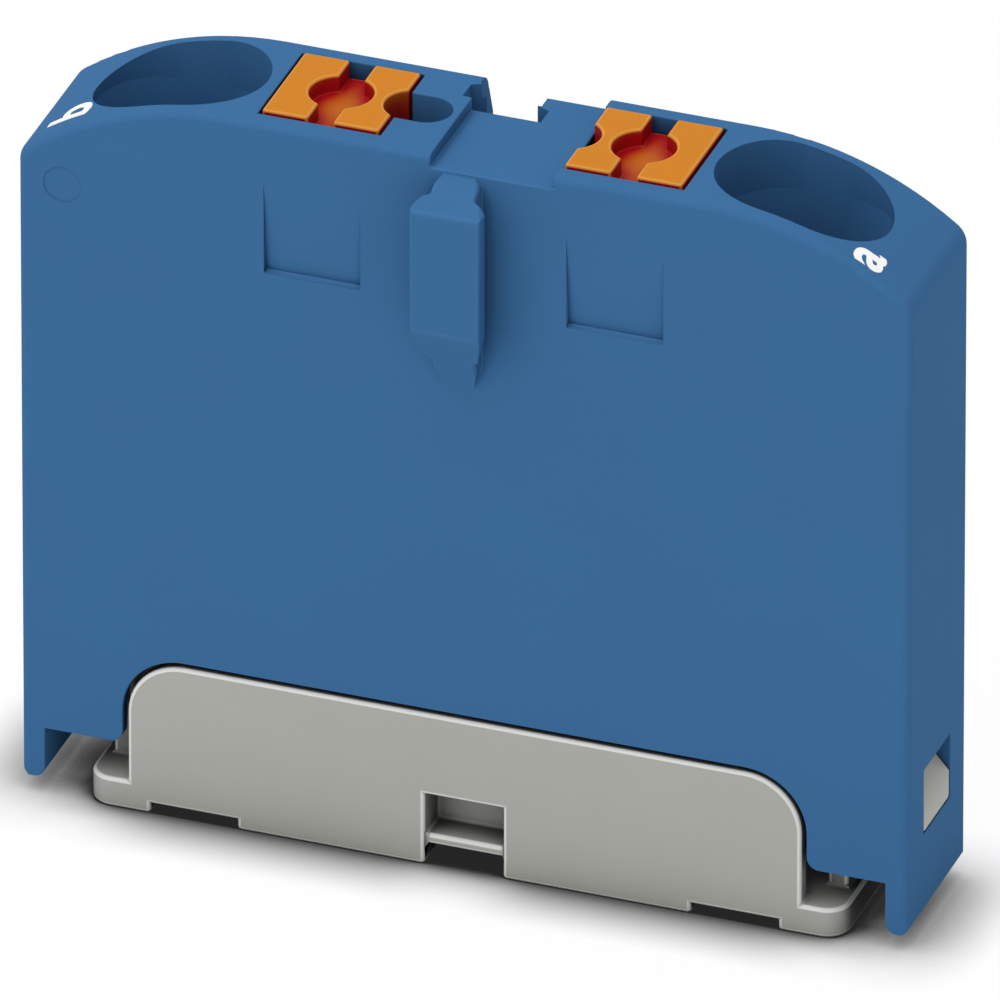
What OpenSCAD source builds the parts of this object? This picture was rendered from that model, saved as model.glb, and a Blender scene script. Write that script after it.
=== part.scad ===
// Two-pole push-in distribution block: a moulded housing on a snap-in foot, two release buttons,
// and inside it a bent current bar with one leaf spring for each pole.
// Millimetres. X runs along the block, Y from the front to the back, Z up from the standing surface.

/* [Housing] */
// Length of the housing from end to end
body_w = 72; // [70:0.5:84]
// Depth of the housing from front to back
body_d = 13.1; // [12:0.1:16]
// Height of the crown above the standing surface
body_h = 62.4; // [60:0.2:72]
// Half length of the flat crown
crown_half = 19; // [16:0.1:22]
// Radius of the shoulders that fall from the crown to the ends
shoulder_r = 27; // [24:0.5:40]
// Fillet between a shoulder and its end wall
shoulder_fillet = 2; // [1.1:0.1:3]
// Rounding of the edges round the front and back faces
edge_r = 0.7; // [0.3:0.1:1]
// Thickness of the front and back walls
side_wall = 1.2; // [1:0.1:1.5]
// Thickness of the end walls
end_wall = 1.9; // [1.5:0.1:2.3]
// Height of the end walls' round lower edges
skirt_z = 1.4; // [0.8:0.1:2.5]
// Height of the front and back walls' lower edges
sill_z = 5.8; // [5:0.1:7]
// Rounding where a lower edge meets the foot's cut-out
sill_r = 1; // [0.4:0.1:2]

/* [Conductor entries] */
// Length of an entry's mouth along the block
mouth_len = 13.9; // [12:0.1:14.4]
// Wall left in front of and behind a mouth
mouth_wall = 1.3; // [0.9:0.1:1.6]
// Solid left between a mouth and the block's end
mouth_end = 4; // [3.4:0.1:5]
// Straight land under a mouth's lowest edge
mouth_land = 1; // [0.4:0.1:2]
// Depth of the throat below the crown
throat_depth = 16; // [13:0.5:17]
// Radius of the round throat that guides the conductor
throat_r = 4.5; // [4:0.1:4.7]
// Length of the round throat
throat_len = 6.4; // [4:0.2:7]

/* [Release buttons] */
// Length of a button along the block
button_w = 9.4; // [8.6:0.1:9.6]
// Wall left in front of and behind a button's window
button_wall = 1.6; // [1.2:0.05:1.8]
// Solid left between a button's window and the mouth beside it
button_web = 0.95; // [0.7:0.05:1.2]
// Running gap between a button and its window
button_gap = 0.25; // [0.15:0.05:0.4]
// Height of a button's top above the crown
button_proud = 0.2; // [0:0.05:1]
// Length of the window that guides a button
guide_len = 18.4; // [14:0.2:19]
// Depth of the screwdriver seat in a button
seat_depth = 1.5; // [0.8:0.1:2.5]
// Radius of the seat's round middle
seat_r = 2.5; // [2:0.1:3]
// Width of the seat's slot
seat_slot = 2.05; // [1.2:0.05:3]
// Radius of the probe notch in a button's inner edge
notch_r = 2.3; // [1.5:0.1:2.6]
// Distance from the notch's centre to the button's inner edge
notch_out = 1.15; // [0.6:0.05:1.4]
// Depth of the probe notch
notch_depth = 9; // [6:0.5:12]
// Reach of the lug that keeps a button in the housing
lug_reach = 1.2; // [0.8:0.1:1.5]
// Height of that lug
lug_h = 2.7; // [2:0.1:4]
// Gap between the lug and the shoulder above it
lug_gap = 0.3; // [0.1:0.05:0.5]
// Width of the stem that presses on the spring
stem_w = 2.4; // [2:0.1:3]
// Height of the stem above its nose
stem_h = 4.4; // [3:0.1:6]
// Gap between the stem's nose and the spring at rest
press_gap = 0.3; // [0.2:0.05:0.5]

/* [Top and side details] */
// Distance from the middle to the marker groove's far wall
groove_half = 2.7; // [2:0.1:4]
// Depth of the marker groove
groove_depth = 1.1; // [0.4:0.1:1.4]
// Width of the test pocket
pocket_w = 4; // [3:0.1:4.6]
// Depth of the test pocket
pocket_depth = 8.4; // [5:0.2:11]
// Solid left between the test pocket and the groove
pocket_wall = 0.6; // [0.3:0.05:1]
// Width of the head of the tongue that joins the next block
tongue_w = 5.8; // [5:0.1:6.2]
// Width of the tongue's neck
tongue_neck = 3.6; // [2.8:0.1:4.2]
// Length of the tongue's neck
tongue_lip = 1.65; // [1.2:0.05:2]
// Length of the slope from the neck to the head
tongue_slope = 0.5; // [0.2:0.1:0.7]
// Sideways offset of the tongue and of its slot
tongue_x = -0.3; // [-1:0.1:1]
// Reach of the tongue in front of the housing
tongue_reach = 3.5; // [3:0.1:3.8]
// Height of the tongue's flat face
tongue_face = 10.5; // [7:0.5:12]
// Height of the tongue's upper lead-in
tongue_lead = 1.7; // [1:0.1:3]
// Height of the tongue's lower tail
tongue_tail = 6.1; // [3:0.1:7]
// Width of the tongue's tips where they meet the wall
tongue_tip = 2.4; // [1:0.1:4]
// Distance from the crown down to the tongue's upper tip
tongue_drop = 1.4; // [1:0.1:4]
// Room around a neighbour's tongue in the slot
slot_gap = 0.25; // [0.15:0.05:0.5]
// Widening of the slot at its open top, on each side
slot_flare = 0.5; // [0.1:0.05:0.8]
// Side of the square recesses in the front
panel_side = 7.8; // [6:0.1:9]
// Depth of the square recesses at their lower edges
panel_depth = 0.6; // [0.2:0.05:0.8]
// Distance from the crown down to the square recesses
panel_drop = 5.1; // [4:0.1:7]
// Radius of the ejector mark
mark_r = 1.55; // [1:0.05:2.5]
// Depth of the ejector mark
mark_depth = 0.1; // [0.1:0.05:0.4]
// Distance from the block's end to the ejector mark
mark_end = 3.6; // [2.6:0.1:6]
// Distance from the crown down to the ejector mark
mark_drop = 8.4; // [7:0.1:14]

/* [Foot] */
// Gap between the foot and the housing's cut-out
foot_gap = 0.45; // [0.2:0.05:0.8]
// Distance from the end walls to the foot's base
foot_end_gap = 3.4; // [2.4:0.1:4]
// Thickness of the foot's base
floor_t = 2.5; // [1.8:0.1:3.5]
// Plan rounding of the base's corners
floor_r = 1.9; // [1:0.1:4]
// Length of base that stands out past the upright plates
tab_len = 3.4; // [3:0.1:6]
// Height of the upright plates
plate_h = 13.3; // [11:0.1:14]
// Thickness of the upright plates
plate_t = 1.5; // [1.2:0.1:2]
// Rounding of the upright plates' top corners
plate_r = 4.6; // [2:0.1:6]
// Width of the adapter notches
notch_w = 6.4; // [4:0.1:9]
// Height of the adapter notches
notch_h = 6.2; // [4:0.1:8]
// Depth of the adapter notches
notch_in = 3.1; // [2:0.1:3.6]
// Wall around the adapter notches
notch_wall = 1.2; // [0.8:0.1:1.6]
// Depth of the underside's recesses
sole_depth = 0.87; // [0.4:0.05:1.4]
// Distance from the middle to the underside's recesses
sole_in = 18.4; // [12:0.1:20]
// Length of the underside's recesses
sole_len = 7.1; // [4:0.1:8]
// Thickness of the ledge across an adapter notch
ledge_t = 0.85; // [0.5:0.05:1.4]
// Distance from the front or back face in to that ledge
ledge_in = 0.4; // [0.2:0.05:1]
// Distance from the middle to the ribs that carry the current bar
rib_x = 14; // [8:0.5:18]
// Thickness of those ribs
rib_t = 1.6; // [1:0.1:2.4]
// Width of a snap latch
latch_w = 5.7; // [4:0.1:6.4]
// Thickness of a latch's arm
latch_t = 1.6; // [1.2:0.1:1.8]
// Distance from an upright plate's end out to a latch's post
latch_root = 0.9; // [0.5:0.1:1.2]
// Gap between a latch's arm and the end wall
latch_gap = 0.9; // [0.5:0.1:1.1]
// Height of the latch nose's locking edge
latch_z = 8.7; // [7:0.1:9.4]
// Height of the latch nose's outer face
latch_face = 2.3; // [1:0.1:3]
// Height of the latch nose's ramp
latch_ramp = 3.2; // [2:0.1:4]
// Room around a latch nose in its window
latch_room = 0.2; // [0.1:0.05:0.4]
// Distance from a latch nose's face to the outside of the end wall
latch_inset = 0.1; // [0:0.05:0.5]

/* [Contacts] */
// Height of the current bar above the latches' tops
bar_lift = 1.8; // [1.2:0.1:3]
// Thickness of the current bar
bar_t = 2; // [1.5:0.1:2.5]
// Inner radius of the bar's bends
bar_bend = 1.2; // [0.6:0.1:2]
// Room between the bar and the walls beside it
bar_side = 0.5; // [0.3:0.05:0.8]
// Clearance between the bar and the housing above it and at its ends
bar_fit = 0.2; // [0.1:0.05:0.4]
// Distance from the throat's edge in to the contact face
contact_in = 0.3; // [0:0.1:1]
// Gap between the contact plates' tops and the chamber's roof
contact_gap = 2; // [1:0.1:4]
// Thickness of the leaf springs
spring_t = 0.8; // [0.5:0.05:1]
// Width of the bar that a spring leaves free on each side
spring_side = 0.4; // [0.2:0.1:1]
// Outer radius of a spring's loop
loop_r = 6.4; // [5:0.1:6.6]
// Distance from a button's middle in to the loop's centre
loop_in = 0.3; // [0:0.1:1]
// Fall of the clamping leg below the horizontal, in degrees
leg_fall = 15; // [10:1:24]
// Length of the spring's holding leg
hold_len = 12; // [8:0.5:14]
// Gap between a spring and what it stands clear of
spring_gap = 0.3; // [0.2:0.05:0.5]

/* [Hidden] */
$fn = 96;
// Overlap that makes a cut run past a face
eps = 0.01;
past = 1;
// Facets round a lofted funnel
funnel_fn = 32;

half_w = body_w / 2;
half_d = body_d / 2;
inner_x = half_w - end_wall;
inner_y = half_d - side_wall;

// Fillet at the end of a shoulder: its centre, and the direction in which the shoulder meets it
shoulder_z = body_h - shoulder_r;
fillet_x = half_w - shoulder_fillet;
fillet_reach = shoulder_r - shoulder_fillet;
fillet_z = shoulder_z + sqrt(pow(fillet_reach, 2) - pow(fillet_x - crown_half, 2));
shoulder_end = [fillet_x - crown_half, fillet_z - shoulder_z] / fillet_reach;

// Conductor entries
mouth_w = body_d - 2 * mouth_wall;
entry_x = half_w - mouth_end - mouth_len / 2;
throat_z = body_h - throat_depth;
entry_z = throat_z - throat_len;
mouth_out = entry_x + mouth_len / 2;
mouth_low = shoulder_z + sqrt(pow(shoulder_r, 2) - pow(max(0, mouth_out - crown_half), 2));
mouth_z = mouth_low - mouth_land;

// Release buttons
window_out = entry_x - mouth_len / 2 - button_web;
window_w = button_w + 2 * button_gap;
window_d = body_d - 2 * button_wall;
window_in = window_out - window_w;
button_x = window_out - window_w / 2;
button_d = window_d - 2 * button_gap;
button_top = body_h + button_proud;
button_in = button_x - button_w / 2;
button_out = button_x + button_w / 2;
guide_z = body_h - guide_len;

// Foot and latches
foot_w = 2 * (inner_x - foot_end_gap);
plate_w = foot_w - 2 * tab_len;
arm_out = inner_x - latch_gap;
latch_top = latch_z + latch_face + latch_ramp;
bay_z = latch_top + bar_lift / 2;

// Contacts
bar_z = latch_top + bar_lift;
bar_top = bar_z + bar_t;
bar_w = body_d - 2 * (side_wall + bar_side);
contact_x = entry_x + throat_r - contact_in;
bar_end = contact_x + bar_t;
bar_tip = entry_z - contact_gap;
spring_w = bar_w - 2 * spring_side;
loop_x = button_x - loop_in;
loop_z = bar_top + loop_r;
loop_mid = loop_r - spring_t / 2;
leg_turn = 90 - leg_fall;
leg_x = loop_x + loop_mid * cos(leg_turn);
leg_z = loop_z + loop_mid * sin(leg_turn);
leg_len = (contact_x - spring_gap - leg_x) / cos(leg_fall);
chamber_in = loop_x - loop_r - spring_gap;
chamber_out = bar_end + bar_fit;

// The stem's round nose stands press_gap off the clamping leg's upper face
nose_r = stem_w / 2;
stem_x = button_out - nose_r - button_gap;
leg_top_z = leg_z + spring_t / 2 / cos(leg_fall) - (stem_x - leg_x) * tan(leg_fall);
nose_z = leg_top_z + (nose_r + press_gap) / cos(leg_fall);
shank_z = nose_z + stem_h;

// Tongue and slot
tongue_top = body_h - tongue_drop;
face_top = tongue_top - tongue_lead;
face_low = face_top - tongue_face;
tongue_low = face_low - tongue_tail;

// Stand a front-view outline up and give it a depth, centred on the block
module upright(depth) {
    rotate([90, 0, 0]) linear_extrude(depth, center = true) children();
}

// Box given by its low and high corners
module box(low, high) {
    translate(low) cube(high - low);
}

// Draw for both poles: the first is pole a on the right, the second its mirror image
module both_poles() {
    children();
    mirror([1, 0, 0]) children();
}

// Rectangle with round corners, centred
module rounded_plate(w, d, r) {
    square([w - 2 * r, d], center = true);
    square([w, d - 2 * r], center = true);
    for (x = [-1, 1], y = [-1, 1]) translate([x * (w / 2 - r), y * (d / 2 - r)]) circle(r);
}

// Slot with half-round ends, centred, along X
module stadium(len, w) {
    square([len - w, w], center = true);
    for (x = [-1, 1]) translate([x * (len - w) / 2, 0]) circle(d = w);
}

// Upright plate standing at height zero, with its top corners rounded
module arch(w, h, r) {
    translate([-w / 2, 0]) square([w, h - r]);
    translate([-w / 2 + r, 0]) square([w - 2 * r, h]);
    for (x = [-1, 1]) translate([x * (w / 2 - r), h - r]) circle(r);
}

// Half section across the housing, from an axis out to a distance r, with its two outer edges rounded
module edge_section(r) {
    translate([0, -half_d]) square([r - edge_r, body_d]);
    translate([0, edge_r - half_d]) square([r, body_d - 2 * edge_r]);
    for (y = [-1, 1]) intersection() {
        translate([r - edge_r, y * (half_d - edge_r)]) circle(edge_r);
        translate([0, -half_d]) square([r, body_d]);
    }
}

// That section turned a quarter about an upright axis point, and kept between two directions from it
module swept_arc(at, r, from, to) {
    far = 2 * r;
    translate([at[0], 0, at[1]]) intersection() {
        rotate([90, 0, 0]) rotate_extrude(angle = 90) edge_section(r);
        upright(body_d + 2 * past) polygon([[0, 0], from * far, (from + to) * far, to * far]);
    }
}

// Outside of the housing: an upright block with round lower edges on its end walls, and above it
// the section swept along the flat crown, the shoulders and their fillets
module housing_body() {
    leg_r = end_wall / 2;
    leg_z = skirt_z + leg_r;
    translate([0, 0, leg_z]) linear_extrude(fillet_z - leg_z) rounded_plate(body_w, body_d, edge_r);
    intersection() {
        linear_extrude(fillet_z) rounded_plate(body_w, body_d, edge_r);
        both_poles() translate([half_w - leg_r, 0, leg_z]) upright(body_d + past) circle(leg_r);
    }
    translate([0, 0, shoulder_z]) rotate([90, 0, 90]) linear_extrude(2 * crown_half, center = true)
        rotate(90) edge_section(shoulder_r);
    both_poles() {
        swept_arc([crown_half, shoulder_z], shoulder_r, [0, 1], shoulder_end);
        swept_arc([fillet_x, fillet_z], shoulder_fillet, shoulder_end, [1, 0]);
    }
}

// Front view of what the foot needs cut out of the front and back walls
module foot_cutout() {
    cut_w = plate_w + 2 * foot_gap;
    arch(cut_w, plate_h + foot_gap, plate_r + foot_gap);
    translate([-inner_x, 0]) square([2 * inner_x, sill_z]);
    for (x = [0, 1]) mirror([x, 0]) translate([cut_w / 2, sill_z]) difference() {
        translate([-eps, -eps]) square(sill_r + eps);
        translate([sill_r, sill_r]) circle(sill_r);
    }
}

// Conductor entry: an oblong mouth that narrows to a round throat
module entry_cut() {
    // A polygon drawn round the throat's circle keeps the loft clear of the true bore below it
    loft_r = throat_r / cos(180 / funnel_fn);
    translate([entry_x, 0, 0]) {
        translate([0, 0, mouth_z]) linear_extrude(body_h) stadium(mouth_len, mouth_w);
        hull() {
            translate([0, 0, mouth_z]) linear_extrude(eps) stadium(mouth_len, mouth_w, $fn = funnel_fn);
            translate([0, 0, throat_z]) cylinder(h = eps, r = loft_r, $fn = funnel_fn);
        }
        translate([0, 0, entry_z - past]) cylinder(h = throat_len + past + eps, r = throat_r);
    }
}

// Spring chamber, button window and lug space of one pole
module pole_chamber() {
    lug_room = button_out + lug_reach + button_gap;
    box([chamber_in, -inner_y, bay_z - past], [chamber_out, inner_y, entry_z]);
    box([window_in, -inner_y, entry_z - past], [lug_room, inner_y, guide_z]);
    box([window_in, -window_d / 2, guide_z - past], [window_out, window_d / 2, body_h + past]);
}

// Side view of the tongue in front of its wall
module tongue_side() {
    rotate([90, 0, 90]) linear_extrude(body_w, center = true) polygon([
        [past, tongue_low],
        [0, tongue_low],
        [-tongue_reach, face_low],
        [-tongue_reach, face_top],
        [0, tongue_top],
        [past, tongue_top]
    ]);
}

// Front view of the tongue: both ends narrow to a tip
module tongue_front() {
    polygon([
        [-tongue_tip / 2, tongue_low],
        [tongue_tip / 2, tongue_low],
        [tongue_w / 2, face_low],
        [tongue_w / 2, face_top],
        [tongue_tip / 2, tongue_top],
        [-tongue_tip / 2, tongue_top],
        [-tongue_w / 2, face_top],
        [-tongue_w / 2, face_low]
    ]);
}

// Plan of the tongue in front of its wall, widened by a clearance: a neck, a slope and a wider head
module tongue_plan(gap) {
    neck = tongue_neck / 2 + gap;
    head = tongue_w / 2 + gap;
    lip = tongue_lip - gap;
    polygon([
        [-neck, past],
        [-neck, -lip],
        [-head, -lip - tongue_slope],
        [-head, -tongue_reach - gap],
        [head, -tongue_reach - gap],
        [head, -lip - tongue_slope],
        [neck, -lip],
        [neck, past]
    ]);
}

// Tongue on the front wall, let into the wall a little so that the two are one moulding
module tongue() {
    translate([tongue_x, -half_d, 0]) intersection() {
        tongue_side();
        upright(body_d) tongue_front();
        linear_extrude(body_h) tongue_plan(0);
    }
}

// Slot in the back that takes a neighbour's tongue, open at the top, with a lead-in between its lips
module tongue_slot() {
    neck = tongue_neck / 2 + slot_gap;
    rise = [tongue_w / 2 + slot_gap - tongue_tip / 2, face_low - tongue_low];
    slot_low = tongue_low - slot_gap;
    translate([tongue_x, half_d, 0]) {
        intersection() {
            linear_extrude(body_h + past) tongue_plan(slot_gap);
            upright(body_d) polygon([
                [-tongue_tip / 2, slot_low],
                [tongue_tip / 2, slot_low],
                [tongue_tip / 2, slot_low] + 2 * rise,
                [half_w, body_h + past],
                [-half_w, body_h + past],
                [-tongue_tip / 2 - 2 * rise[0], slot_low + 2 * rise[1]]
            ]);
        }
        upright(2 * (tongue_lip - slot_gap)) polygon([
            [-neck, face_top],
            [neck, face_top],
            [neck + slot_flare, body_h + eps],
            [-neck - slot_flare, body_h + eps]
        ]);
    }
}

// Marker groove across the crown, and the test pocket beside the left button
module crown_cuts() {
    pocket_end = -groove_half - pocket_wall;
    pocket_len = window_in + pocket_end + pocket_w / 2;
    groove_z = body_h - groove_depth;
    box([-groove_half, -half_d - past, groove_z], [window_in + eps, half_d + past, body_h + past]);
    translate([0, 0, body_h - pocket_depth]) linear_extrude(pocket_depth + past) {
        translate([pocket_end - pocket_w / 2, 0]) circle(d = pocket_w);
        translate([-window_in - eps, -pocket_w / 2]) square([max(eps, pocket_len - pocket_w), pocket_w]);
    }
}

// Shallow marks in the front face: two square recesses that deepen downwards, and an ejector mark
module front_marks() {
    for (x = [-1, 1]) translate([x * button_x, -half_d, body_h - panel_drop]) rotate([90, 0, 90])
        linear_extrude(panel_side, center = true) polygon([
            [-panel_depth, panel_side],
            [panel_depth, -panel_side],
            [-panel_depth, -panel_side]
        ]);
    translate([-half_w + mark_end, -half_d + mark_depth, body_h - mark_drop])
        rotate([90, 0, 0]) cylinder(h = mark_depth + past, r = mark_r);
}

// Window in an end wall for a latch nose
module latch_window() {
    half = latch_w / 2 + latch_room;
    box([inner_x - past, -half, latch_z - latch_room], [half_w + past, half, latch_top]);
}

module housing() {
    color("#3a6491") union() {
        difference() {
            housing_body();
            upright(body_d + 2 * past) foot_cutout();
            box([-inner_x, -inner_y, 0], [inner_x, inner_y, bay_z]);
            box([-chamber_out, -inner_y, bay_z - past], [chamber_out, inner_y, bar_top + bar_fit]);
            both_poles() {
                pole_chamber();
                entry_cut();
                latch_window();
            }
            tongue_slot();
            crown_cuts();
            front_marks();
        }
        tongue();
    }
}

// Snap latch at the foot's right end: a post on the base, a bridge, and a nose with a ramp
module latch() {
    post_in = plate_w / 2 + latch_root;
    nose_out = half_w - latch_inset;
    upright(latch_w) {
        translate([post_in, floor_t - eps]) square([latch_t, latch_z + latch_t - floor_t + eps]);
        translate([post_in, latch_z]) square([arm_out - post_in, latch_t]);
        translate([arm_out - latch_t, latch_z]) square([latch_t, latch_top - latch_z]);
        polygon([
            [arm_out - eps, latch_z],
            [nose_out, latch_z],
            [nose_out, latch_z + latch_face],
            [arm_out, latch_top],
            [arm_out - eps, latch_top]
        ]);
    }
}

// Notch in the foot's front where an adapter hooks in: a pocket above the base, and under it the
// base's edge left as a ledge, set back a little and undercut
module adapter_notch() {
    half = notch_w / 2;
    box([-half, -half_d - past, floor_t], [half, -half_d + notch_in, notch_h]);
    box([-half, -half_d - past, -past], [half, -half_d + ledge_in, floor_t + eps]);
    box([-half, -half_d - past, -past], [half, -half_d + notch_in, floor_t - ledge_t]);
}

module foot() {
    boss_w = notch_w + 2 * notch_wall;
    boss_in = notch_in + notch_wall;
    color("#b5b4ae") difference() {
        union() {
            linear_extrude(floor_t) rounded_plate(foot_w, body_d, floor_r);
            for (y = [-1, 1]) translate([0, y * (half_d - plate_t / 2), 0])
                upright(plate_t) arch(plate_w, plate_h, plate_r);
            for (y = [0, 1]) mirror([0, y, 0])
                box([-boss_w / 2, -half_d, 0], [boss_w / 2, -half_d + boss_in, notch_h + notch_wall]);
            for (x = [-1, 1]) translate([x * rib_x, 0, bar_z / 2])
                cube([rib_t, 2 * (inner_y - spring_gap), bar_z], center = true);
            both_poles() latch();
        }
        for (y = [0, 1]) mirror([0, y, 0]) adapter_notch();
        both_poles() box([sole_in, -half_d - past, -past], [sole_in + sole_len, half_d + past, sole_depth]);
    }
}

// Front view of a button's body: shaft, keeper lug, and the stem with its round nose
module button_outline() {
    lug_top = guide_z - lug_gap;
    translate([button_in, shank_z]) square([button_w, button_top - shank_z]);
    translate([button_out - eps, lug_top - lug_h]) square([lug_reach + eps, lug_h]);
    translate([stem_x - nose_r, nose_z]) square([stem_w, stem_h + eps]);
    translate([stem_x, nose_z]) circle(nose_r);
}

module button() {
    color("#d98210") difference() {
        upright(button_d) button_outline();
        translate([button_x, 0, button_top - seat_depth]) {
            cylinder(h = seat_depth + past, r = seat_r);
            translate([-seat_slot / 2, -half_d, 0]) cube([seat_slot, body_d, seat_depth + past]);
        }
        translate([button_in - notch_out, 0, button_top - notch_depth])
            cylinder(h = notch_depth + past, r = notch_r);
    }
}

module button_a() {
    button();
}

module button_b() {
    mirror([1, 0, 0]) button();
}

// Tinned copper strip on the foot's ribs, turned up at both ends into the contact plates
module current_bar() {
    bend_out = bar_bend + bar_t;
    bend_x = bar_end - bend_out;
    bend_z = bar_z + bend_out;
    color("#b9b7b0") upright(bar_w) {
        translate([-bend_x - eps, bar_z]) square([2 * (bend_x + eps), bar_t]);
        for (x = [0, 1]) mirror([x, 0]) {
            translate([contact_x, bend_z - eps]) square([bar_t, bar_tip - bend_z + eps]);
            translate([bend_x, bend_z]) intersection() {
                difference() {
                    circle(bend_out);
                    circle(bar_bend);
                }
                translate([0, -bend_out]) square(bend_out);
            }
        }
    }
}

// Leaf spring: a holding leg on the bar, a loop, and a clamping leg that leans on the contact plate
module spring() {
    far = 3 * loop_r;
    color("#9b9c9a") upright(spring_w) {
        translate([loop_x - eps, bar_top]) square([hold_len + eps, spring_t]);
        translate([loop_x, loop_z]) difference() {
            circle(loop_r);
            circle(loop_r - spring_t);
            polygon([
                [0, 0],
                [0, -far],
                [far, -far],
                [far, far],
                [far * cos(leg_turn), far * sin(leg_turn)]
            ]);
        }
        translate([leg_x, leg_z]) rotate(-leg_fall)
            translate([-eps, -spring_t / 2]) square([leg_len + eps, spring_t]);
    }
}

module spring_a() {
    spring();
}

module spring_b() {
    mirror([1, 0, 0]) spring();
}

housing();
foot();
button_a();
button_b();
current_bar();
spring_a();
spring_b();
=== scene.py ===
import math

import bmesh
import bpy
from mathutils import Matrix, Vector
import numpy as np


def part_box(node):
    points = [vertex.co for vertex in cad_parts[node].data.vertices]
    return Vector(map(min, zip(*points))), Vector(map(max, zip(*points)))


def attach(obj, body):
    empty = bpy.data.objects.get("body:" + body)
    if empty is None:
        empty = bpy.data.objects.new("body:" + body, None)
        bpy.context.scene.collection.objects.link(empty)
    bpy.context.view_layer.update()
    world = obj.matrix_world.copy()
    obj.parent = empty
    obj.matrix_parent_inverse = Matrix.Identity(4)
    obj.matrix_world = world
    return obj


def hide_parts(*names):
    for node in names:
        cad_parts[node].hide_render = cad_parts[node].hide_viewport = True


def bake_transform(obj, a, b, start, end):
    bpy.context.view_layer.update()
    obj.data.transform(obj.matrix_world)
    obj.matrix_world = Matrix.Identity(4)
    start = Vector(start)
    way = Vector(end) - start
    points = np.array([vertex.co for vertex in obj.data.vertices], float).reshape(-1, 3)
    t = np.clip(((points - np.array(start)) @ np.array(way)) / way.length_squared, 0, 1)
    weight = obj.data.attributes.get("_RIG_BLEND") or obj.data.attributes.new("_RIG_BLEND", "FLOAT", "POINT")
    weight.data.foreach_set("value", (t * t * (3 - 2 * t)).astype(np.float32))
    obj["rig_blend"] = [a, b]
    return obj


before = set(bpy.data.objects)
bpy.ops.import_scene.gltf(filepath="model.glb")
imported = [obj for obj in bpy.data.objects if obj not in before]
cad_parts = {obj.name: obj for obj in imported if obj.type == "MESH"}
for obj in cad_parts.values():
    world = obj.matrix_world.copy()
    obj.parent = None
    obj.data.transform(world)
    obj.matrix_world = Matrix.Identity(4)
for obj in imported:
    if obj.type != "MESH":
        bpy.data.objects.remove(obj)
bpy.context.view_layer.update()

bl_info = {
    "name": "Distribution block",
    "version": (1, 0, 0),
    "blender": (4, 5, 0),
    "location": "3D View > Sidebar > Block",
    "description": "Moulded pieces, metal parts, printed letters and studio of a push-in distribution block",
    "category": "Object",
}

MM = 0.001
# Face attribute that marks the rounded edges for a painted highlight, and its value on a ledge, which gets a stronger
# painted highlight than they do
RIM = "rim"
LEDGE = 5
# Points of the solids' triangles that are this close are one point
MERGE = 0.001 * MM
# Neighbouring triangles that turn by less than this are one flat face
FLAT = math.radians(0.3)
# An edge that turns by more than this is a corner, and so is one between two broad faces that turns by less
CORNER = math.radians(43.5)
SLOPE = math.radians(28)
BROAD = 1 * MM * MM
# A face must be this many times wider than the round on its edge, or the edge gets a fine round
ROOM = 2.1
FINE = 0.3
# A round whose faces turn by more than this on average is an outer corner
OUTER = math.radians(5)
# A face narrower than this is left over from the solids' triangles, and its edges stay as they are
SLIVER = 0.04 * MM
# A face whose normal has more than this along an axis looks straight along it
SQUARE_ON = 0.9
# What stands out from the front face by more than this is the joining tongue
TONGUE_OUT = 0.1 * MM
# The ledges of the square recesses lie no deeper than this behind the front face
LEDGE_DEPTH = 1 * MM
# The slot for a neighbour's tongue lies within this distance of the middle, and further back than this
SLOT_HALF = 4 * MM
SLOT_FROM = 2.5 * MM
# How far a latch nose reaches in from the foot's end
NOSE_REACH = 2.9 * MM
# Where a spring's held part ends, out and up in millimetres, and how far on from there it goes with its button
SPRING_HELD = (24, 18.8)
SPRING_GIVES = (2.3, 7.6)
# Points of a letter of type size 1 that are this close are one point
LETTER_MERGE = 0.0001


def linear(hex_colour):
    """Linear red, green and blue of an sRGB hex colour."""
    channels = [int(hex_colour[i:i + 2], 16) / 255 for i in (1, 3, 5)]
    return [c / 12.92 if c <= 0.04045 else ((c + 0.055) / 1.055) ** 2.4 for c in channels]


def length(name, description, millimetres):
    """A size that shows with its unit, given in millimetres."""
    return bpy.props.FloatProperty(
        name=name, description=description, default=millimetres * MM, min=0, unit="LENGTH", precision=5)


def colour(name, description, hex_colour):
    """A colour that shows as a swatch, given as sRGB hex."""
    return bpy.props.FloatVectorProperty(
        name=name, description=description, default=linear(hex_colour), min=0, max=1, subtype="COLOR")


class EdgeSizes(bpy.types.PropertyGroup):
    """Rounds that the moulds and the stamping leave on the pieces' edges"""

    housing_edge: length("Housing edges", "Round on the edges of the housing", 0.13)
    tongue_edge: length("Tongue edges", "Round on the joining tongue, so that it slides in easily", 0.35)
    foot_edge: length("Foot edges", "Round on the edges of the foot", 0.28)
    button_edge: length("Button edges", "Round on the edges of the release buttons", 0.2)
    metal_edge: length("Metal edges", "Round that stamping leaves on the bar and the springs", 0.08)


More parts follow.
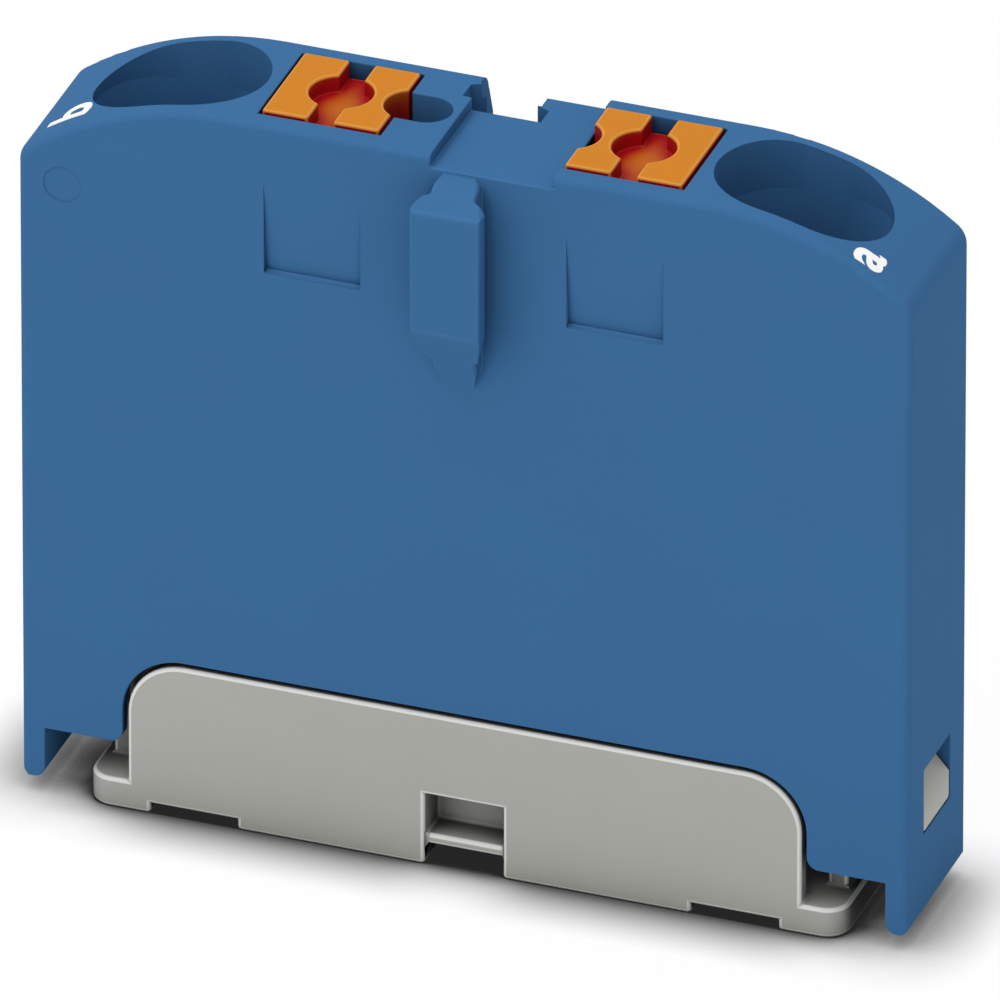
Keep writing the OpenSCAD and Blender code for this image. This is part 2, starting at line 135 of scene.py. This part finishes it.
class BlockColours(bpy.types.PropertyGroup):
    """Colours of the plastics with their painted shade and painted highlights, the print and the metals"""

    housing: colour("Housing", "Mid blue of the housing", "#3a6793")
    # Painted shade: the blue that the housing darkens to in its gaps and inner corners
    housing_shade: colour("Housing, deep", "Blue in its gaps and inner corners", "#1a3356")
    # Painted highlight: the paler blue along its edges
    housing_highlight: colour("Housing, rims", "Paler blue along its edges", "#4c7cab")
    foot: colour("Foot", "Light grey of the foot", "#a7a7a1")
    # Painted shade: the brown grey that the foot darkens to in its gaps and inner corners
    foot_shade: colour("Foot, deep", "Brown grey in its gaps and inner corners", "#2e2c29")
    # Painted highlight: the paler grey along its edges
    foot_highlight: colour("Foot, rims", "Paler grey along its edges", "#ebebe7")
    button: colour("Buttons", "Orange of the release buttons", "#c27818")
    # Painted shade: the red that the orange darkens to in the seats and gaps
    button_shade: colour("Buttons, deep", "Red that the orange deepens to in the seats", "#9a0c14")
    # Painted highlight: the paler orange along their edges
    button_highlight: colour("Buttons, rims", "Paler orange along their edges", "#dc9c4c")
    print_ink: colour("Letters", "White of the printed letters", "#f4f5f4")
    tin: colour("Current bar", "Tin over copper", "#c9c6bd")
    steel: colour("Springs", "Rolled spring steel", "#a9aaa8")


class FunnelSizes(bpy.types.PropertyGroup):
    """Place and size of the mouths that the conductors go in by"""

    from_middle: length("Funnel place", "From the block's middle to the middle of a funnel", 25.05)
    mouth_length: length("Mouth length", "Length of a funnel's mouth along the block", 13.9)
    mouth_width: length("Mouth width", "Width of a funnel's mouth", 10.5)


class LetterSizes(bpy.types.PropertyGroup):
    """Size, weight and place of the printed letters"""

    x_height: length("Letter height", "Height of the small letter a", 2.6)
    weight: bpy.props.FloatProperty(
        name="Letter weight", description="How far each side of a stroke is thickened, as a share of the type size",
        default=0.027, min=0)
    print_height: length("Print thickness", "How far the print stands off the housing", 0.04)
    strip: length("Strip", "Width of the strips that lay a letter onto the shoulder", 0.3)
    shoulder_r: length("Shoulder radius", "Radius of the shoulder that the letters lie on", 27)
    crown_half: length("Half crown", "From the middle to where a shoulder starts", 19)
    a_from_end: length("Letter a from the end", "From the block's end to the middle of letter a", 4.05)
    a_from_front: length("Letter a from the front", "From the front face to the middle of letter a", 1.95)
    b_from_end: length("Letter b from the end", "From the block's end to the middle of letter b", 3.35)
    b_from_front: length("Letter b from the front", "From the front face to the middle of letter b", 2.85)


class StageSettings(bpy.types.PropertyGroup):
    """Camera, paper floor and lights"""

    azimuth: bpy.props.FloatProperty(
        name="Azimuth", description="Turn of the camera to the right of the front",
        default=math.radians(20), subtype="ANGLE")
    elevation: bpy.props.FloatProperty(
        name="Elevation", description="Height of the camera above the horizon",
        default=math.radians(30.13), subtype="ANGLE")
    view_width: length("View width", "Width of what the camera sees at the block", 76.07)
    aim: bpy.props.FloatVectorProperty(
        name="Aim", description="Point at the middle of the picture",
        default=(0.72 * MM, -0.37 * MM, 29.54 * MM), subtype="XYZ", unit="LENGTH")
    lens: bpy.props.FloatProperty(
        name="Lens", description="Focal length, long for a view without much perspective",
        default=1600, min=1, unit="CAMERA")
    floor_size: length("Floor size", "Side of the square floor", 6000)
    paper: colour("Floor", "White of the paper floor", "#ffffff")
    contact_reach: length("Contact reach", "How far from the block its contact shadow deepens", 6.5)
    paper_glow: bpy.props.FloatProperty(
        name="Paper glow", description="Share of its own white that the floor shows to the camera", default=0.92,
        min=0, max=1)
    room_light: bpy.props.FloatProperty(
        name="Room light", description="Even light from all round", default=0.55, min=0)
    box_size: length("Soft box size", "Width of the round soft boxes", 1000)
    top_light: bpy.props.FloatProperty(
        name="Top light", description="Power of the soft box overhead", default=6, min=0, unit="POWER")
    top_light_at: bpy.props.FloatVectorProperty(
        name="Top light place", description="Middle of the soft box overhead",
        default=(-0.12, -0.12, 0.93), subtype="XYZ", unit="LENGTH")
    front_light: bpy.props.FloatProperty(
        name="Front light", description="Power of the soft box in front", default=1.6, min=0, unit="POWER")
    front_light_at: bpy.props.FloatVectorProperty(
        name="Front light place", description="Middle of the soft box in front",
        default=(-0.35, -0.75, 0.56), subtype="XYZ", unit="LENGTH")


def add_node(tree, kind, settings=None, links=None):
    """Adds a node, sets its sockets and properties by name, and links sockets of other nodes to its inputs."""
    node = tree.nodes.new(kind)
    for name, value in (settings or {}).items():
        if isinstance(name, int) or name in node.inputs:
            node.inputs[name].default_value = value
        else:
            setattr(node, name, value)
    for name, socket in (links or {}).items():
        tree.links.new(socket, node.inputs[name])
    return node


def new_material(name):
    """An empty node material, with its tree and its output node."""
    material = bpy.data.materials.new(name)
    material.use_nodes = True
    tree = material.node_tree
    tree.nodes.clear()
    return material, tree, add_node(tree, "ShaderNodeOutputMaterial")


def rgba(channels):
    """Red, green and blue with a full alpha."""
    return (*channels, 1)


def painted_shade_colour(tree, reach, closed, opened, open_colour, shade_colour, easing="SMOOTHSTEP", samples=16):
    """Painted shade: a colour that goes from the shade colour in gaps and inner corners, where shade falls, to its
    own on open faces. Reach is how far away a wall is felt, and closed and opened are the shares of open view at
    which the change starts and ends."""
    hollow = add_node(tree, "ShaderNodeAmbientOcclusion", {"Distance": reach, "samples": samples})
    openness = add_node(
        tree, "ShaderNodeMapRange",
        {"interpolation_type": easing, "From Min": closed, "From Max": opened},
        {"Value": hollow.outputs["AO"]})
    mixed = add_node(
        tree, "ShaderNodeMix", {"data_type": "RGBA", 6: rgba(shade_colour), 7: rgba(open_colour)},
        {0: openness.outputs["Result"]})
    return mixed


def moulded_polyamide(name, shades, painted_shade, highlight_share, roughness, shine, grain=0.22, flow=9.0):
    """Polyamide moulded in a spark-eroded tool: a satin skin with a fine grain that breaks up every highlight,
    a brightness that drifts a little where the melt flowed, painted shade that darkens the colour in gaps and inner
    corners, and a painted highlight in a paler colour along the rims. Shades are the open colour, the colour in
    painted shade and the painted highlight's colour; the painted shade's setting is its reach in metres with its two
    shares of open view, the highlight's share is how much of the highlight colour goes in, and grain and flow are
    sizes in millimetres."""
    # How far brightness and roughness go up and down, and the depth of the grain in millimetres. The real grain is
    # finer than a pixel, so it is drawn as coarse as it needs to show.
    drifts = 0.04
    uneven = 0.06
    grain_depth = 0.02
    material, tree, output = new_material(name)
    place = add_node(tree, "ShaderNodeTexCoord").outputs["Object"]
    drift = add_node(tree, "ShaderNodeTexNoise", {"Scale": 1 / (flow * MM), "Detail": 3}, {"Vector": place})
    grit = add_node(tree, "ShaderNodeTexNoise", {"Scale": 1 / (grain * MM), "Detail": 2}, {"Vector": place})
    brightness = add_node(
        tree, "ShaderNodeMapRange", {"To Min": 1 - drifts, "To Max": 1 + drifts}, {"Value": drift.outputs["Fac"]})
    colour_open, colour_in_shade, colour_highlight = shades
    # Painted shade: the colour darkens in gaps and inner corners, where shade falls
    body = painted_shade_colour(tree, *painted_shade, colour_open, colour_in_shade)
    # Painted highlight: the paler colour goes onto the faces marked as rims and ledges
    rim = add_node(tree, "ShaderNodeAttribute", {"attribute_name": RIM})
    highlight_amount = add_node(tree, "ShaderNodeMapRange", {"To Max": highlight_share, "clamp": False}, {"Value": rim.outputs["Fac"]})
    skin = add_node(
        tree, "ShaderNodeMix", {"data_type": "RGBA", 7: rgba(colour_highlight)},
        {0: highlight_amount.outputs["Result"], 6: body.outputs[2]})
    shade = add_node(
        tree, "ShaderNodeHueSaturation", None,
        {"Color": skin.outputs[2], "Value": brightness.outputs["Result"]})
    rough = add_node(
        tree, "ShaderNodeMapRange", {"To Min": roughness - uneven, "To Max": roughness + uneven},
        {"Value": grit.outputs["Fac"]})
    bump = add_node(
        tree, "ShaderNodeBump", {"Strength": 0.12, "Distance": grain_depth * MM}, {"Height": grit.outputs["Fac"]})
    shader = add_node(
        tree, "ShaderNodeBsdfPrincipled", {"IOR": 1.53, "Specular IOR Level": shine},
        {"Base Color": shade.outputs["Color"], "Roughness": rough.outputs["Result"],
         "Normal": bump.outputs["Normal"]})
    tree.links.new(shader.outputs["BSDF"], output.inputs["Surface"])
    return material


def rolled_metal(name, bright, roughness, streak, along):
    """Cold-rolled strip: fine streaks along the rolling direction stretch its reflections across it.
    Streak is the width of a streak in millimetres, and along how many times longer it is."""
    # How far roughness goes up and down, and the depth of a streak in millimetres
    uneven = 0.08
    streak_depth = 0.01
    dull = [0.82 * c for c in bright]
    material, tree, output = new_material(name)
    place = add_node(tree, "ShaderNodeTexCoord").outputs["Object"]
    stretched = add_node(
        tree, "ShaderNodeMapping", {"Scale": (1 / along, 1, 1 / along)}, {"Vector": place})
    streaks = add_node(
        tree, "ShaderNodeTexNoise", {"Scale": 1 / (streak * MM), "Detail": 3},
        {"Vector": stretched.outputs["Vector"]})
    mixed = add_node(
        tree, "ShaderNodeMix", {"data_type": "RGBA", 6: rgba(dull), 7: rgba(bright)},
        {0: streaks.outputs["Fac"]})
    rough = add_node(
        tree, "ShaderNodeMapRange", {"To Min": roughness - uneven, "To Max": roughness + uneven},
        {"Value": streaks.outputs["Fac"]})
    bump = add_node(
        tree, "ShaderNodeBump", {"Strength": 0.15, "Distance": streak_depth * MM}, {"Height": streaks.outputs["Fac"]})
    shader = add_node(
        tree, "ShaderNodeBsdfPrincipled", {"Metallic": 1.0},
        {"Base Color": mixed.outputs[2], "Roughness": rough.outputs["Result"], "Normal": bump.outputs["Normal"]})
    tree.links.new(shader.outputs["BSDF"], output.inputs["Surface"])
    return material


def pad_printed_ink(name, ink):
    """Pad-printed ink: a thin opaque white film, a little duller and uneven where the pad lifted off."""
    speck = 0.3
    thin = [0.9 * c for c in ink]
    material, tree, output = new_material(name)
    place = add_node(tree, "ShaderNodeTexCoord").outputs["Object"]
    mottle = add_node(tree, "ShaderNodeTexNoise", {"Scale": 1 / (speck * MM), "Detail": 2}, {"Vector": place})
    mixed = add_node(
        tree, "ShaderNodeMix", {"data_type": "RGBA", 6: rgba(thin), 7: rgba(ink)}, {0: mottle.outputs["Fac"]})
    shader = add_node(
        tree, "ShaderNodeBsdfPrincipled", {"Roughness": 0.55, "Specular IOR Level": 0.3},
        {"Base Color": mixed.outputs[2]})
    tree.links.new(shader.outputs["BSDF"], output.inputs["Surface"])
    return material


def seen_directly(tree):
    """One for the camera's own rays and for those that mirror or pass to it, and zero for the light's."""
    path = add_node(tree, "ShaderNodeLightPath")
    seen = add_node(
        tree, "ShaderNodeMath", {"operation": "ADD"},
        {0: path.outputs["Is Camera Ray"], 1: path.outputs["Is Glossy Ray"]})
    return add_node(
        tree, "ShaderNodeMath", {"operation": "ADD", "use_clamp": True},
        {0: seen.outputs["Value"], 1: path.outputs["Is Transmission Ray"]})


def seamless_paper(name, white, reach, glow):
    """Studio background paper: plain, matt and white, with a faint fibre mottle, and darker where the block
    shades it from close by. Glow is the share of its own white that the camera sees in place of lit paper."""
    fibre_size = 3
    in_shade = [0.02 * c for c in white]
    material, tree, output = new_material(name)
    place = add_node(tree, "ShaderNodeTexCoord").outputs["Object"]
    fibre = add_node(
        tree, "ShaderNodeTexNoise", {"Scale": 1 / (fibre_size * MM), "Detail": 2}, {"Vector": place})
    mottle = add_node(
        tree, "ShaderNodeMapRange", {"To Min": 0.994, "To Max": 1.0}, {"Value": fibre.outputs["Fac"]})
    shaded = painted_shade_colour(
        tree, reach, closed=0.48, opened=1.0, open_colour=white, shade_colour=in_shade, easing="LINEAR", samples=32)
    paper = add_node(
        tree, "ShaderNodeHueSaturation", None,
        {"Color": shaded.outputs[2], "Value": mottle.outputs["Result"]})
    lit = add_node(
        tree, "ShaderNodeBsdfPrincipled", {"Roughness": 0.9, "Specular IOR Level": 0.0},
        {"Base Color": paper.outputs["Color"]})
    own = add_node(tree, "ShaderNodeEmission", {"Strength": 1.0}, {"Color": paper.outputs["Color"]})
    share = add_node(
        tree, "ShaderNodeMapRange", {"To Max": glow}, {"Value": seen_directly(tree).outputs["Value"]})
    shader = add_node(
        tree, "ShaderNodeMixShader", None,
        {0: share.outputs["Result"], 1: lit.outputs["BSDF"], 2: own.outputs["Emission"]})
    tree.links.new(shader.outputs["Shader"], output.inputs["Surface"])
    return material


def skin_of(node):
    """The shape of a solid as one skin: its triangles merged, and each flat stretch made one face."""
    shape = bmesh.new()
    shape.from_mesh(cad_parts[node].data)
    shape.faces.layers.float.new(RIM)
    bmesh.ops.remove_doubles(shape, verts=shape.verts, dist=MERGE)
    bmesh.ops.dissolve_limit(
        shape, angle_limit=FLAT, use_dissolve_boundaries=False, verts=shape.verts, edges=shape.edges)
    return shape


def is_corner(edge):
    """Whether an edge is a corner of the shape, and not a seam between the small faces of a curve."""
    turn = edge.calc_face_angle()
    return turn > CORNER or (turn > SLOPE and min(face.calc_area() for face in edge.link_faces) > BROAD)


def middle_of(edge):
    """Point half way along an edge."""
    return (edge.verts[0].co + edge.verts[1].co) / 2


def breadth(face):
    """Mean width of a face across its longest edge."""
    return face.calc_area() / max(edge.calc_length() for edge in face.edges)


def mean_turn(face):
    """Mean angle across a face's edges, more than zero on an outer corner and less on an inner one."""
    return sum(edge.calc_face_angle_signed(0) * edge.calc_length() for edge in face.edges) / face.calc_perimeter()


def bevel(shape, edges, radius):
    """Rounds edges, and marks the new faces of outer corners as rims, which get a painted highlight."""
    made = bmesh.ops.bevel(
        shape, geom=edges, offset=radius, offset_type="OFFSET", affect="EDGES", segments=3, profile=0.5,
        material=-1, clamp_overlap=False, loop_slide=False)
    rim = shape.faces.layers.float[RIM]
    for face in made["faces"]:
        if mean_turn(face) > OUTER:
            face[rim] = 1


def round_corners(shape, radius, chosen=None):
    """Rounds the corner edges of a shape, finer where a wall is too low for the full round. Chosen, if given,
    tells of an edge whether it is rounded here."""
    full = []
    fine = []
    for edge in shape.edges:
        if not is_corner(edge) or (chosen and not chosen(edge)):
            continue
        if min(breadth(face) for face in edge.link_faces) < SLIVER:
            continue
        width = min(face.calc_area() for face in edge.link_faces) / edge.calc_length()
        if width > ROOM * radius:
            full.append(edge)
        else:
            fine.append(edge)
    bevel(shape, full, radius)
    fine = [edge for edge in fine if edge.is_valid]
    bevel(shape, fine, radius * FINE)


def finished(name, shape, material):
    """Turns a bmesh into a piece in the scene, smooth on its curves and crisp on its flats."""
    shape.normal_update()
    for face in shape.faces:
        face.smooth = True
    for edge in shape.edges:
        edge.smooth = edge.calc_face_angle(0) < CORNER
    mesh = bpy.data.meshes.new(name)
    shape.to_mesh(mesh)
    shape.free()
    mesh.materials.append(material)
    piece = bpy.data.objects.new(name, mesh)
    bpy.context.scene.collection.objects.link(piece)
    even = piece.modifiers.new("Even shading", "WEIGHTED_NORMAL")
    even.keep_sharp = True
    return piece


def is_broad_triangle(face):
    """Whether a face is a broad triangle, as the sides of the square recesses are, which run out to a point."""
    return len(face.verts) == 3 and face.calc_area() > BROAD


def mark_ledges(shape, front):
    """Marks the ledges at the foot of the square recesses in the front face, which get a strong painted highlight for
    the light that falls on them from above.
    """
    rim = shape.faces.layers.float[RIM]
    for side in filter(is_broad_triangle, shape.faces):
        if abs(side.normal.x) <= SQUARE_ON:
            continue
        for face in (face for edge in side.edges for face in edge.link_faces):
            if face.normal.z > SQUARE_ON and face.calc_center_median().y < front + LEDGE_DEPTH:
                face[rim] = LEDGE


def on_mouth(point, funnels):
    """Whether a point lies on the oblong wall under a funnel's mouth."""
    straight = (funnels.mouth_length - funnels.mouth_width) / 2
    past_straight = max(0, abs(abs(point.x) - funnels.from_middle) - straight)
    return abs(math.hypot(past_straight, point.y) - funnels.mouth_width / 2) < SLIVER


class BLOCK_OT_housing(bpy.types.Operator):
    """Moulded blue housing with soft rims round its funnels, windows, groove and tongue"""
    bl_idname = "block.housing"
    bl_label = "Housing"

    def execute(self, context):
        scene = context.scene
        shades = scene.block_colours
        funnels = scene.block_funnels
        shape = skin_of("housing")
        # The foot is flush with the front face, and only the tongue stands out from it
        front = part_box("foot")[0].y

        def on_tongue(edge):
            return middle_of(edge).y < front - TONGUE_OUT

        def stays_crisp(edge):
            # The sides of the square recesses run out to a point, and the slot and the funnels' mouths are cut sharp
            middle = middle_of(edge)
            in_slot = abs(middle.x) < SLOT_HALF and middle.y > SLOT_FROM
            beside_wedge = any(is_broad_triangle(face) for face in edge.link_faces)
            return in_slot or beside_wedge or all(on_mouth(v.co, funnels) for v in edge.verts)

        mark_ledges(shape, front)
        round_corners(shape, scene.block_edges.tongue_edge, on_tongue)
        round_corners(
            shape, scene.block_edges.housing_edge, lambda edge: not on_tongue(edge) and not stays_crisp(edge))
        # Painted shade in the gaps, and a faint painted highlight on the rims
        plastic = moulded_polyamide(
            "Blue polyamide", (shades.housing, shades.housing_shade, shades.housing_highlight),
            painted_shade=(2 * MM, 0.0, 0.85), highlight_share=0.15, roughness=0.6, shine=0.01)
        piece = finished("housing_shell", shape, plastic)
        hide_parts("housing")
        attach(piece, "block")
        return {"FINISHED"}


class BLOCK_OT_foot(bpy.types.Operator):
    """Moulded grey foot with its plates, notches and snap latches"""
    bl_idname = "block.foot"
    bl_label = "Foot"

    def execute(self, context):
        scene = context.scene
        shades = scene.block_colours
        shape = skin_of("foot")
        # The latch noses keep their crisp edges
        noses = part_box("foot")[1].x - NOSE_REACH
        round_corners(shape, scene.block_edges.foot_edge, lambda edge: abs(middle_of(edge).x) < noses)
        # Painted shade that reaches far, so the cavities under the housing go dark, and a strong painted highlight on
        # the rims
        plastic = moulded_polyamide(
            "Grey polyamide", (shades.foot, shades.foot_shade, shades.foot_highlight),
            painted_shade=(12 * MM, 0.08, 0.48), highlight_share=0.65, roughness=0.4, shine=0.2)
        piece = finished("foot_base", shape, plastic)
        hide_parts("foot")
        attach(piece, "block")
        return {"FINISHED"}


class BLOCK_OT_buttons(bpy.types.Operator):
    """Two orange release buttons with screwdriver seats"""
    bl_idname = "block.buttons"
    bl_label = "Release buttons"

    def execute(self, context):
        scene = context.scene
        shades = scene.block_colours
        # Painted shade that turns the orange red in the seats, and a painted highlight on the rims
        plastic = moulded_polyamide(
            "Orange polyamide", (shades.button, shades.button_shade, shades.button_highlight),
            painted_shade=(4.5 * MM, 0.58, 0.98), highlight_share=0.5, roughness=0.4, shine=0.06)
        for node in ("button_a", "button_b"):
            shape = skin_of(node)
            round_corners(shape, scene.block_edges.button_edge)
            piece = finished(node + "_cap", shape, plastic)
            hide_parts(node)
            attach(piece, node)
        return {"FINISHED"}


class BLOCK_OT_contacts(bpy.types.Operator):
    """Tinned current bar, and leaf springs that bend with the buttons"""
    bl_idname = "block.contacts"
    bl_label = "Contacts"

    def execute(self, context):
        scene = context.scene
        shades = scene.block_colours
        edge = scene.block_edges.metal_edge
        tinned = rolled_metal("Tinned copper strip", shades.tin, roughness=0.34, streak=0.25, along=12)
        steel = rolled_metal("Spring steel strip", shades.steel, roughness=0.28, streak=0.12, along=20)
        shape = skin_of("current_bar")
        round_corners(shape, edge)
        bar = finished("tinned_bar", shape, tinned)
        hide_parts("current_bar")
        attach(bar, "block")
        for pole, side in (("a", 1), ("b", -1)):
            node = "spring_" + pole
            shape = skin_of(node)
            round_corners(shape, edge)
            spring = finished("leaf_spring_" + pole, shape, steel)
            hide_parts(node)
            # What lies on the bar stays there, and the top of the loop and the clamping leg go with the button
            held = Vector((side * SPRING_HELD[0], 0, SPRING_HELD[1])) * MM
            pressed = held + Vector((side * SPRING_GIVES[0], 0, SPRING_GIVES[1])) * MM
            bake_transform(spring, "block", "button_" + pole, start=held, end=pressed)
        return {"FINISHED"}


def flat_letter(text, weight):
    """A flat bmesh of one letter of the built-in sans serif, on its base line, with thickened strokes."""
    curve = bpy.data.curves.new("letter", "FONT")
    curve.body = text
    curve.offset = weight
    holder = bpy.data.objects.new("letter", curve)
    bpy.context.scene.collection.objects.link(holder)
    mesh = bpy.data.meshes.new_from_object(holder.evaluated_get(bpy.context.evaluated_depsgraph_get()))
    shape = bmesh.new()
    shape.from_mesh(mesh)
    bpy.data.objects.remove(holder)
    bpy.data.curves.remove(curve)
    bpy.data.meshes.remove(mesh)
    bmesh.ops.remove_doubles(shape, verts=shape.verts, dist=LETTER_MERGE)
    return shape


def span(shape, axis):
    """Lowest and highest coordinate of a bmesh along one axis."""
    coordinates = [v.co[axis] for v in shape.verts]
    return min(coordinates), max(coordinates)


class BLOCK_OT_letters(bpy.types.Operator):
    """White letters a and b, printed on the shoulders by the conductor entries"""
    bl_idname = "block.letters"
    bl_label = "Printed letters"

    def execute(self, context):
        scene = context.scene
        sizes = scene.block_letters
        ink = pad_printed_ink("White pad-print ink", scene.block_colours.print_ink)
        pattern = flat_letter("a", sizes.weight)
        low, high = span(pattern, 1)
        pattern.free()
        scale = sizes.x_height / (high - low)
        low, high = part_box("housing")
        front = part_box("foot")[0].y
        for text, side, from_end, from_front in (
                ("a", 1, sizes.a_from_end, sizes.a_from_front),
                ("b", -1, sizes.b_from_end, sizes.b_from_front)):
            shape = flat_letter(text, sizes.weight)
            bmesh.ops.scale(shape, vec=(scale, scale, scale), verts=shape.verts)
            middle = [sum(span(shape, axis)) / 2 for axis in (0, 1)]
            bmesh.ops.translate(shape, vec=(-middle[0], -middle[1], 0), verts=shape.verts)
            self.lay_on_shoulder(shape, sizes, side, high.x - from_end, front + from_front, high.z)
            piece = finished("letter_" + text, shape, ink)
            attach(piece, "block")
        return {"FINISHED"}

    def lay_on_shoulder(self, shape, sizes, side, out, deep, top):
        """Cuts a flat letter into strips and rolls it onto a shoulder, its foot towards pole a."""
        low, high = span(shape, 1)
        for number in range(1, math.ceil((high - low) / sizes.strip)):
            bmesh.ops.bisect_plane(
                shape, geom=[*shape.verts, *shape.edges, *shape.faces],
                plane_co=(0, low + number * sizes.strip, 0), plane_no=(0, 1, 0))
        film = bmesh.ops.extrude_face_region(shape, geom=shape.faces[:])["geom"]
        raised = [v for v in film if isinstance(v, bmesh.types.BMVert)]
        bmesh.ops.translate(shape, vec=(0, 0, sizes.print_height), verts=raised)
        bmesh.ops.recalc_face_normals(shape, faces=shape.faces)
        angle_there = side * math.asin((out - sizes.crown_half) / sizes.shoulder_r)
        for v in shape.verts:
            across, along, lift = v.co
            angle = angle_there - along / sizes.shoulder_r
            reach = sizes.shoulder_r + lift
            v.co = (
                side * sizes.crown_half + reach * math.sin(angle),
                deep + across,
                top - sizes.shoulder_r + reach * math.cos(angle))


class BLOCK_OT_stage(bpy.types.Operator):
    """White paper floor, soft light and the camera"""
    bl_idname = "block.stage"
    bl_label = "Stage"

    def execute(self, context):
        scene = context.scene
        stage = scene.block_stage
        self.lay_floor(scene, stage)
        self.light_room(scene, stage)
        self.set_camera(scene, stage)
        scene.view_settings.view_transform = "Standard"
        return {"FINISHED"}

    def lay_floor(self, scene, stage):
        shape = bmesh.new()
        bmesh.ops.create_grid(shape, x_segments=4, y_segments=4, size=stage.floor_size / 2)
        mesh = bpy.data.meshes.new("paper_floor")
        shape.to_mesh(mesh)
        shape.free()
        mesh.materials.append(seamless_paper(
            "Seamless paper", stage.paper, stage.contact_reach, stage.paper_glow))
        floor = bpy.data.objects.new("paper_floor", mesh)
        scene.collection.objects.link(floor)

    def light_room(self, scene, stage):
        """Even light from all round, a soft box overhead that makes the top faces brightest, and one in front."""
        world = bpy.data.worlds.new("Studio")
        world.use_nodes = True
        scene.world = world
        tree = world.node_tree
        tree.nodes.clear()
        strength = add_node(
            tree, "ShaderNodeMapRange", {"To Min": stage.room_light, "To Max": 1.0},
            {"Value": seen_directly(tree).outputs["Value"]})
        room = add_node(
            tree, "ShaderNodeBackground", {"Color": (1, 1, 1, 1)}, {"Strength": strength.outputs["Result"]})
        add_node(tree, "ShaderNodeOutputWorld", None, {"Surface": room.outputs["Background"]})
        for name, power, place in (
                ("Top soft box", stage.top_light, stage.top_light_at),
                ("Front soft box", stage.front_light, stage.front_light_at)):
            lamp = bpy.data.lights.new(name, "AREA")
            lamp.energy = power
            lamp.shape = "DISK"
            lamp.size = stage.box_size
            box = bpy.data.objects.new(name, lamp)
            box.location = place
            box.rotation_euler = (Vector(stage.aim) - box.location).to_track_quat("-Z", "Y").to_euler()
            scene.collection.objects.link(box)

    def set_camera(self, scene, stage):
        level = math.cos(stage.elevation)
        back = Vector((
            math.sin(stage.azimuth) * level, -math.cos(stage.azimuth) * level, math.sin(stage.elevation)))
        lens = bpy.data.cameras.new("Camera")
        lens.lens = stage.lens
        lens.clip_start = 0.01
        camera = bpy.data.objects.new("Camera", lens)
        distance = stage.view_width * stage.lens / lens.sensor_width
        camera.location = Vector(stage.aim) + back * distance
        camera.rotation_euler = (-back).to_track_quat("-Z", "Y").to_euler()
        scene.collection.objects.link(camera)
        scene.camera = camera


OPERATORS = (
    BLOCK_OT_housing, BLOCK_OT_foot, BLOCK_OT_buttons, BLOCK_OT_contacts, BLOCK_OT_letters, BLOCK_OT_stage)
SETTINGS = {
    "block_edges": EdgeSizes,
    "block_colours": BlockColours,
    "block_funnels": FunnelSizes,
    "block_letters": LetterSizes,
    "block_stage": StageSettings,
}


class VIEW3D_PT_block(bpy.types.Panel):
    """Makes the pieces of the distribution block and its stage"""
    bl_label = "Distribution block"
    bl_space_type = "VIEW_3D"
    bl_region_type = "UI"
    bl_category = "Block"

    def draw(self, context):
        column = self.layout.column()
        for settings in SETTINGS:
            group = getattr(context.scene, settings)
            for name in group.__annotations__:
                column.prop(group, name)
        for operator in OPERATORS:
            column.operator(operator.bl_idname)


CLASSES = (*SETTINGS.values(), *OPERATORS, VIEW3D_PT_block)


def register():
    for item in CLASSES:
        bpy.utils.register_class(item)
    for name, group in SETTINGS.items():
        setattr(bpy.types.Scene, name, bpy.props.PointerProperty(type=group))


def unregister():
    for name in SETTINGS:
        delattr(bpy.types.Scene, name)
    for item in reversed(CLASSES):
        bpy.utils.unregister_class(item)


def main():
    register()
    bpy.ops.block.housing()
    bpy.ops.block.foot()
    bpy.ops.block.buttons()
    bpy.ops.block.contacts()
    bpy.ops.block.letters()
    bpy.ops.block.stage()


if __name__ == "__main__":
    main()
